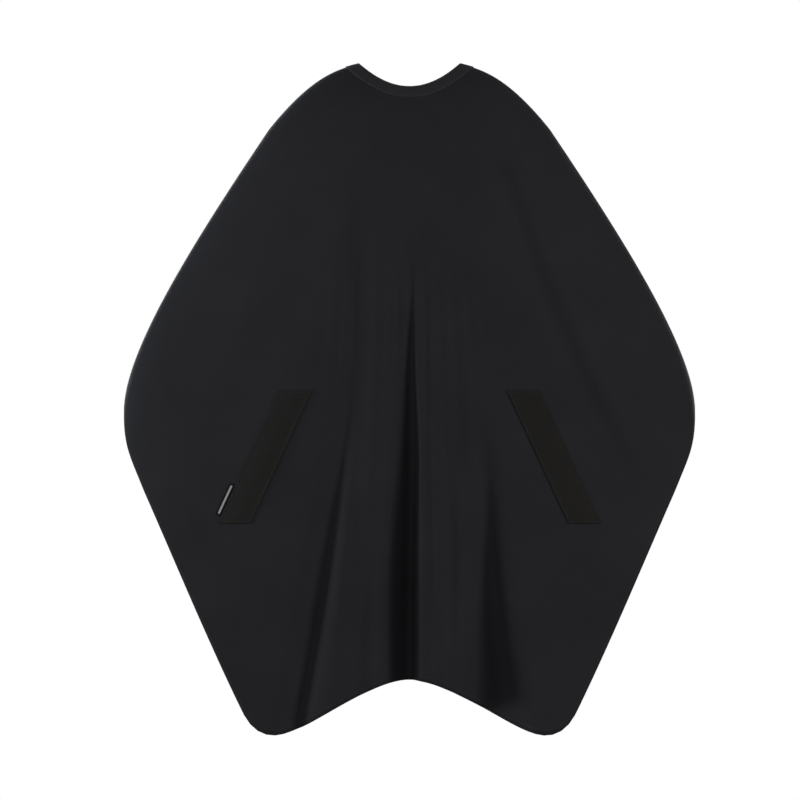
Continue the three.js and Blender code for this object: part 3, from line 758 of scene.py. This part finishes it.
def make_hem_stitching():
    """Thread round the hem and down both edges of the back slit, on both faces."""
    inset = 0.85 * HEM_WIDTH
    round_hem = np.linspace(-LAST_TURN + 0.015, LAST_TURN - 0.015, 1600)
    down_slit = np.linspace(0.09, 0.985, 500)
    runs = [edge_run(round_hem, hem_down(round_hem, inset), face) for face in (1, -1)]
    for side in (-1, 1):
        beside_slit = side * (LAST_TURN - inset * slit_turn_per_metre(down_slit))
        runs += [edge_run(beside_slit, down_slit, face) for face in (-1, 1)]
    piece = stitches("hem_stitching", runs, pitch=3.6 * MM)
    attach(piece, "cape")
    return piece


# ---------------------------------------------------------------------------------------------
# Neckband, closure tab and snaps
# ---------------------------------------------------------------------------------------------

def band_place(turn, below, reach, lap_side):
    """Points of the band: below metres under the neckline and reach metres out of its middle layer."""
    turn, below, reach = np.broadcast_arrays(turn, below, reach)

    def surface(a, b):
        return lapped(a, b, lap_side, worn_form)

    down = below * down_per_metre(turn, np.zeros_like(turn))
    return surface(turn, down) + outward(surface, turn, down) * reach[..., None]


def band_run(turn, below, face, lap_side):
    """A stitch line on one face of the band, with its normals."""
    return stitch_line(lambda reach: band_place(turn, below, reach, lap_side), face * BAND_HALF)


def neckband_place(turn, below, reach):
    """Points of the band, whose two ends lap at the nape."""
    return band_place(turn, below, reach, np.sign(turn))


TAB_TURN_PER_METRE = 1 / NECK_HALF_WIDTH
TAB_REACH = TAB_LENGTH + SLIT_HALF_ANGLE / TAB_TURN_PER_METRE
BAND_STITCH_ROWS = (3 * MM, BAND_HEIGHT - 2.5 * MM)               # below the neckline


def tab_place(beyond, below, reach):
    """Points of the tab, beyond metres past the band's right end."""
    return band_place(LAST_TURN + beyond * TAB_TURN_PER_METRE, below, reach, 1)


def tab_half_width(beyond):
    """Share of the band's half height: the tab's tip has rounded corners."""
    corner = 9 * MM
    near = np.clip((TAB_REACH - beyond) / corner, 0, 1)
    return 1 - corner / (BAND_HEIGHT / 2) * (1 - np.sqrt(1 - (1 - near) ** 2))


def make_neckband():
    """The doubled band round the neck, with stitch lines along both edges."""
    piece = made_up("neckband", neckband_place, (-LAST_TURN, LAST_TURN), (0, BAND_HEIGHT), BAND_HALF,
                    (260, 16), (BAND, LINING))
    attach(piece, "cape")
    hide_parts("neckband_outer", "neckband_lining", "neckband_interfacing")
    turn = np.linspace(-LAST_TURN + 0.03, LAST_TURN - 0.03, 700)
    runs = [band_run(turn, below, face, np.sign(turn))
            for below in BAND_STITCH_ROWS for face in (1, -1)]
    thread = stitches("neckband_stitching", runs)
    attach(thread, "cape")


def make_closure_tab():
    """The doubled end of the band that closes the cape, stitched round three sides."""
    piece = made_up("closing_tab", tab_place, (0, TAB_REACH), (0, BAND_HEIGHT), BAND_HALF, (44, 16),
                    (BAND, LINING), tab_half_width)
    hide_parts("closure_tab_outer", "closure_tab_lining", "closure_tab_interfacing")
    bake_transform(piece)
    runs = []
    for face in (1, -1):
        beyond = np.linspace(9 * MM, TAB_REACH - 7 * MM, 60)
        runs += [band_run(LAST_TURN + beyond * TAB_TURN_PER_METRE, below, face, 1)
                 for below in BAND_STITCH_ROWS]
        below = np.linspace(8 * MM, BAND_HEIGHT - 8 * MM, 20)
        turn = np.full_like(below, LAST_TURN + (TAB_REACH - 3 * MM) * TAB_TURN_PER_METRE)
        runs.append(band_run(turn, below, face, 1))
    thread = stitches("closing_tab_stitching", runs)
    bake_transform(thread)


def turned(name, profile, turn, lap_side, face, body, node):
    """A press-snap part: a profile of (radius, height) turned about the band's normal, with its foot on the
    band's outer face (1) or inner one (-1). Its poles keep pinholes 0.02 mm wide."""
    sides, base = 40, face * BAND_HALF
    radius, height = np.array(profile, float).T * MM
    foot = band_place(turn, BAND_HEIGHT / 2, base, lap_side)
    axis = face * (band_place(turn, BAND_HEIGHT / 2, base + MM, lap_side) - foot) / MM
    axis = axis / np.linalg.norm(axis)
    across = np.cross(axis, (0, 0, 1))
    across = across / np.linalg.norm(across)
    upright = np.cross(axis, across)
    angle = np.linspace(0, 2 * math.pi, sides, endpoint=False)
    circle = np.cos(angle)[:, None] * across + np.sin(angle)[:, None] * upright
    points = foot + height[:, None, None] * axis + radius[:, None, None] * circle[None]
    quads = grid_quads(len(radius), sides, close_columns=True)[:, ::-1]
    piece = mesh_object(name, points, quads, points[..., :2], SNAP)
    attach(piece, body)
    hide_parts(node)


# Profiles of (radius, height), in mm, from the middle of the face to the foot.
CAP_PROFILE = [(0.01, 1.3), (1.6, 1.25), (3.4, 1.1), (5.0, 0.85), (5.9, 0.5), (6.2, 0.15), (6.2, -0.05),
               (0.01, -0.05)]
POST_PROFILE = [(0.01, 0.75), (1.2, 0.75), (1.5, 0.55), (3.8, 0.5), (4.8, 0.35), (5.0, 0.05), (5.0, -0.05),
                (0.01, -0.05)]
SOCKET_PROFILE = [(2.7, -0.05), (2.6, 0.75), (2.9, 0.95), (4.2, 0.95), (4.7, 0.8), (5.0, 0.3), (5.0, -0.05),
                  (2.7, -0.05)]
STUD_PROFILE = [(0.01, 1.75), (1.6, 1.75), (2.1, 1.55), (2.2, 1.2), (1.9, 0.8), (1.9, 0.5), (4.7, 0.45),
                (5.0, 0.25), (5.0, -0.05), (0.01, -0.05)]


# Name, profile, end of the band (1 the tab, -1 the end under it), face, body and how many there are.
SNAP_PARTS = (("cap", CAP_PROFILE, 1, 1, "closure_tab", TAB_SNAPS),
              ("socket", SOCKET_PROFILE, 1, -1, "closure_tab", TAB_SNAPS),
              ("stud", STUD_PROFILE, -1, 1, "cape", STUDS),
              ("post", POST_PROFILE, -1, -1, "cape", STUDS))


def make_snaps():
    """Caps and sockets on the tab's two faces, studs and posts on those of the band under it."""
    for i in range(STUDS):
        turn = np.array(math.pi + (SNAP_INSET + i * SNAP_PITCH) * TAB_TURN_PER_METRE)
        for kind, profile, lap_side, face, body, count in SNAP_PARTS:
            if i < count:
                turned(f"resin_{kind}_{i + 1}", profile, turn, lap_side, face, body, f"snap_{kind}_{i + 1}")


# ---------------------------------------------------------------------------------------------
# Flaps, slit bindings and label
# ---------------------------------------------------------------------------------------------

FLAP_HALF = 0.65 * MM
FLAP_SEAT = CLOTH_THICKNESS / 2 + FLAP_HALF + 0.15 * MM
FLAP_BOW = 2.6 * MM
FLAP_END_SLANT = (FLAP_FOOT[0] - FLAP_TOP[0]) / (FLAP_TOP[1] - FLAP_FOOT[1])   # its ends are cut level
FLAP_SEAM = 9 * MM            # a strip this wide along the flap's sewn outer edge
SIDE_WORDS = {-1: "left", 1: "right"}


def flap_lift(outwards):
    """How far the flap's middle layer lies off the cloth: sewn down outside, bowed over the binding, with
    its free inner edge a little raised."""
    share = 0.5 - outwards / FLAP_WIDTH
    return FLAP_SEAT + FLAP_BOW * np.sin(math.pi * np.clip(share, 0, 1)) ** 2 + 0.9 * MM * smooth(share - 0.3)


def make_flap(side):
    """The flap over one hand slit, sewn down along its outer long edge."""
    word = SIDE_WORDS[side]
    half = FLAP_WIDTH / 2

    def place(along_flap, outwards, reach):
        slanted = along_flap + FLAP_END_SLANT * outwards
        return flap_place(slanted, outwards, flap_lift(outwards) + reach, side)

    def run(along_flap, outwards, face):
        along_flap, outwards = np.broadcast_arrays(along_flap, outwards)
        return stitch_line(lambda reach: place(along_flap, outwards, np.full(outwards.shape, reach)),
                           face * FLAP_HALF)

    piece = made_up(f"{word}_hand_flap", place, (0, FLAP_LENGTH), (-half, half), FLAP_HALF, (90, 22),
                    (FLAP, FLAP), flipped=side > 0)
    down_flap = np.linspace(3 * MM, FLAP_LENGTH - 3 * MM, 120)
    over_flap = np.linspace(-half + 4 * MM, half - 3 * MM, 30)
    runs = [run(down_flap, inset, 1) for inset in (half - 2 * MM, half - 8 * MM)]
    runs += [run(down_flap, -half + 4 * MM, face) for face in (1, -1)]
    runs += [run(end, over_flap, 1) for end in (4 * MM, FLAP_LENGTH - 4 * MM)]
    thread = stitches(f"{word}_flap_stitching", runs)
    hinge = flap_place(np.array([FLAP_LENGTH / 2] * 2), np.array([half, half - FLAP_SEAM]), np.zeros(2), side)
    for cloth in (piece, thread):
        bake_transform(cloth)
    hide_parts(f"{word}_flap")


def slit_outline():
    """The slit's edge in the flap's coordinates, (along, outwards), with its outward direction: a
    rectangle with rounded corners."""
    corner = 3 * MM
    half_long, half_wide = FLAP_LENGTH / 2 - SLIT_END_INSET - corner, SLIT_WIDTH / 2 - corner
    angle = np.concatenate([np.linspace(q, q + 1, 7) * math.pi / 2 for q in range(4)])
    signs = np.repeat([(1, 1), (-1, 1), (-1, -1), (1, -1)], 7, axis=0)
    centre = signs * (half_long, half_wide)
    direction = np.stack([np.cos(angle), np.sin(angle)], -1)
    bend = centre + corner * direction
    # The long sides follow the cloth's curve, so they get points between the corners, about 5 mm apart.
    gap = np.linalg.norm(np.roll(bend, -1, axis=0) - bend, axis=1)
    count = np.maximum(2, (gap / (5 * MM)).astype(int))
    first = np.repeat(np.arange(len(bend)), count)
    share = (np.arange(len(first)) - np.repeat(np.cumsum(count) - count, count)) / count[first]
    edge, away = [at[first] * (1 - share[:, None]) + np.roll(at, -1, axis=0)[first] * share[:, None]
                  for at in (bend, direction)]
    return edge + (FLAP_LENGTH / 2, 0), away / np.linalg.norm(away, axis=1, keepdims=True)


# The binding's section, in mm: (back from the slit's edge, out of the cloth).
BINDING_PROFILE = [(12.0, -0.8), (6.0, -0.9), (1.0, -0.8), (-0.4, -0.5), (-0.6, 0.0), (-0.4, 0.5),
                   (1.0, 0.75), (3.0, 0.8), (4.5, 0.65)]


def make_binding(side):
    """A folded strip that binds the slit: narrow on the outer face and wide on the inner one."""
    word = SIDE_WORDS[side]
    edge, away = slit_outline()
    beyond, reach = np.array(BINDING_PROFILE).T * MM
    spot = edge[:, None] + away[:, None] * beyond[None, :, None]
    points = flap_place(spot[..., 0], spot[..., 1], np.broadcast_to(reach, spot.shape[:2]), side)
    piece = thicken(mesh_object(f"{word}_slit_binding", points,
                                grid_quads(*spot.shape[:2], close_rows=True), spot, LINING), 0.45 * MM)
    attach(piece, "cape")
    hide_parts(f"{word}_slit_facing")
    runs = []
    for beyond_edge, height in ((3.2 * MM, 1.0 * MM), (10.5 * MM, -1.1 * MM)):
        spot = edge + away * beyond_edge
        at_long, at_wide = np.vstack([spot, spot[:1]]).T
        runs.append(stitch_line(
            lambda reach: flap_place(at_long, at_wide, np.full(len(at_long), reach), side), height))
    thread = stitches(f"{word}_binding_stitching", runs)
    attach(thread, "cape")


LABEL_HALF = 0.3 * MM
LABEL_LONG = (FLAP_LENGTH - LABEL_FOOT_INSET - LABEL_LENGTH, FLAP_LENGTH - LABEL_FOOT_INSET)
LABEL_WIDE = (FLAP_WIDTH / 2 + LABEL_GAP, FLAP_WIDTH / 2 + LABEL_GAP + LABEL_WIDTH)


def make_label():
    """A small woven label sewn down at both ends, beside the left flap's outer edge."""
    def place(along_flap, outwards, reach):
        share = (along_flap - LABEL_LONG[0]) / LABEL_LENGTH
        lift = CLOTH_THICKNESS / 2 + LABEL_HALF + 0.1 * MM + 0.5 * MM * np.sin(math.pi * np.clip(share, 0, 1))
        return flap_place(along_flap, outwards, lift + reach, -1)

    piece = made_up("damask_woven_label", place, LABEL_LONG, LABEL_WIDE, LABEL_HALF, (40, 12), (LABEL, LABEL))
    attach(piece, "cape")
    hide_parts("woven_label")
    runs = []
    for along_flap in (LABEL_LONG[0] + 1.8 * MM, LABEL_LONG[1] - 1.8 * MM):
        outwards = np.linspace(LABEL_WIDE[0] + 0.5 * MM, LABEL_WIDE[1] - 0.5 * MM, 12)
        spot = np.full_like(outwards, along_flap)
        runs.append(stitch_line(
            lambda reach: place(spot, outwards, np.full_like(outwards, reach)), LABEL_HALF))
    thread = stitches("label_stitching", runs, pitch=2.2 * MM)
    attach(thread, "cape")


panel = make_panel()
make_hem_stitching()
make_neckband()
make_closure_tab()
make_snaps()
for flap_side in (-1, 1):
    make_flap(flap_side)
    make_binding(flap_side)
make_label()


# ---------------------------------------------------------------------------------------------
# Studio
# ---------------------------------------------------------------------------------------------

def add_softbox(name, place, aim_height, size, power, colour):
    """A round area light that faces the middle of the object at the given height."""
    data = bpy.data.lights.new(name, "AREA")
    data.shape = "DISK"
    data.size = size
    data.energy = power
    data.color = colour
    lamp = bpy.data.objects.new(name, data)
    scene.collection.objects.link(lamp)
    lamp.location = place
    lamp.rotation_euler = (Vector((0, 0, aim_height)) - Vector(place)).to_track_quat("-Z", "Y").to_euler()


# Name, place, height aimed at, size, power and colour.
SOFTBOXES = (("key", (-7.0, -0.6, -0.6), -0.6, 2.5, 330, (0.86, 0.95, 1.0)),
             ("front", (0.5, -9.0, 0.8), -0.6, 4.0, 165, (1.0, 0.99, 0.99)),
             ("front_right", (6.5, -4.5, 0.4), -0.7, 3.0, 330, (1.0, 0.98, 0.97)),
             ("front_left", (-6.0, -4.5, 0.5), -0.7, 3.0, 105, (1.0, 0.98, 0.97)),
             ("rear_left", (-2.8, 8.5, 1.2), -0.5, 3.0, 330, (0.96, 0.98, 1.0)),
             ("rear_right", (3.6, 8.0, -0.2), -0.5, 3.0, 170, (1.0, 0.99, 0.98)))


def make_light():
    """A white surround that shows at full brightness and lights the cloth less, a cool softbox level with
    the left arm, softer ones before the object, and two behind it for the back."""
    world = bpy.data.worlds.new("studio")
    world.use_nodes = True
    scene.world = world
    tree = world.node_tree
    tree.nodes.clear()
    dim = add_node(tree, "ShaderNodeBackground",
                   values={"Color": (0.98, 0.99, 1.0, 1.0), "Strength": SURROUND_LIGHT})
    white = add_node(tree, "ShaderNodeBackground", values={"Color": (1.0, 1.0, 1.0, 1.0), "Strength": 1.0})
    path = add_node(tree, "ShaderNodeLightPath")
    mixed = add_node(tree, "ShaderNodeMixShader",
                     links={0: path.outputs["Is Camera Ray"], 1: dim.outputs[0], 2: white.outputs[0]})
    add_node(tree, "ShaderNodeOutputWorld", links={"Surface": mixed.outputs[0]})
    for softbox in SOFTBOXES:
        add_softbox(*softbox)
    scene.view_settings.view_transform = "Standard"


make_light()
